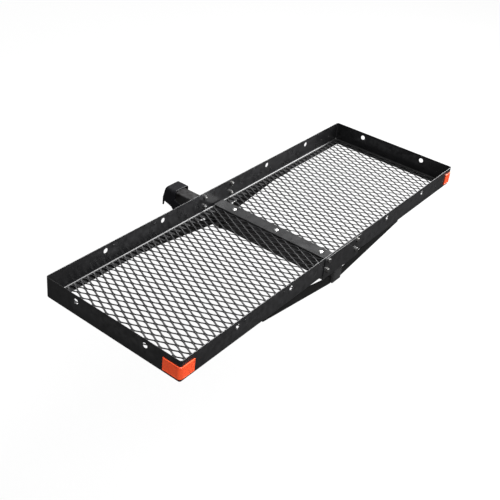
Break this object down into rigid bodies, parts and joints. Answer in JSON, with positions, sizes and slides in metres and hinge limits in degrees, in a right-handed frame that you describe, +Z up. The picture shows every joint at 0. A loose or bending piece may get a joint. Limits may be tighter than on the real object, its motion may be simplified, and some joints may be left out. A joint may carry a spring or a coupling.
{
  "type": "hitch cargo carrier",
  "caption": "Two-piece steel cargo tray with an expanded-metal floor, braced under a square hitch tube that folds up on a channel bracket.",
  "frame": {"origin": "middle of the hitch plate's vehicle-side face, on the hitch tube's centre line", "axes": "+X along the tray's length, to the vehicle's right seen from behind; +Y forward to the vehicle; +Z up"},
  "size_m": [1.5296, 0.7354, 0.1644],
  "materials": {
    "frame_paint": "semi-gloss black powder coat",
    "floor_paint": "semi-gloss black powder coat on expanded metal",
    "strip_paint": "semi-gloss black powder coat, smooth",
    "tube_paint": "satin black powder coat",
    "bracket_paint": "semi-gloss black powder coat",
    "zinc": "bright zinc plate",
    "cap_plastic": "matte dark grey moulded plastic",
    "pad_rubber": "matte black rubber",
    "reflector_amber": "orange-red prismatic reflector"
  },
  "bodies": {
    "hitch": {"fold_bracket": "bracket_paint", "hitch_plate": "bracket_paint", "stop_pad": "pad_rubber", "pivot_bolt": "bracket_paint", "pivot_nut": "bracket_paint"},
    "tray": {"left_tray_frame": "frame_paint", "right_tray_frame": "frame_paint", "rear_splice_plate": "frame_paint", "front_splice_plate": "frame_paint", "left_mesh_floor": "floor_paint", "right_mesh_floor": "floor_paint", "center_strip": "strip_paint", "center_rail": "tube_paint", "hitch_tube": "tube_paint", "rear_left_strut": "tube_paint", "rear_right_strut": "tube_paint", "front_left_strut": "tube_paint", "front_right_strut": "tube_paint", "pivot_sleeve": "tube_paint", "tube_end_cap": "cap_plastic", "left_reflector": "reflector_amber", "right_reflector": "reflector_amber", "rear_splice_bolt_1": "zinc", "rear_splice_nut_1": "zinc", "rear_splice_bolt_2": "zinc", "rear_splice_nut_2": "zinc", "rear_splice_bolt_3": "zinc", "rear_splice_nut_3": "zinc", "rear_splice_bolt_4": "zinc", "rear_splice_nut_4": "zinc", "rear_strut_bolt": "zinc", "rear_strut_nut": "zinc", "front_splice_bolt_1": "zinc", "front_splice_nut_1": "zinc", "front_splice_bolt_2": "zinc", "front_splice_nut_2": "zinc", "front_splice_bolt_3": "zinc", "front_splice_nut_3": "zinc", "front_splice_bolt_4": "zinc", "front_splice_nut_4": "zinc", "front_strut_bolt": "zinc", "front_strut_nut": "zinc", "floor_bolt_1": "zinc", "floor_nut_1": "zinc", "floor_bolt_2": "zinc", "floor_nut_2": "zinc", "floor_bolt_3": "zinc", "floor_nut_3": "zinc"}
  },
  "joints": [
    {"name": "tray_fold", "type": "hinge", "parent": "hitch", "child": "tray", "pos_m": [0, -0.109, -0.036], "axis": [-1, 0, 0], "range_deg": [0, 90]}
  ]
}
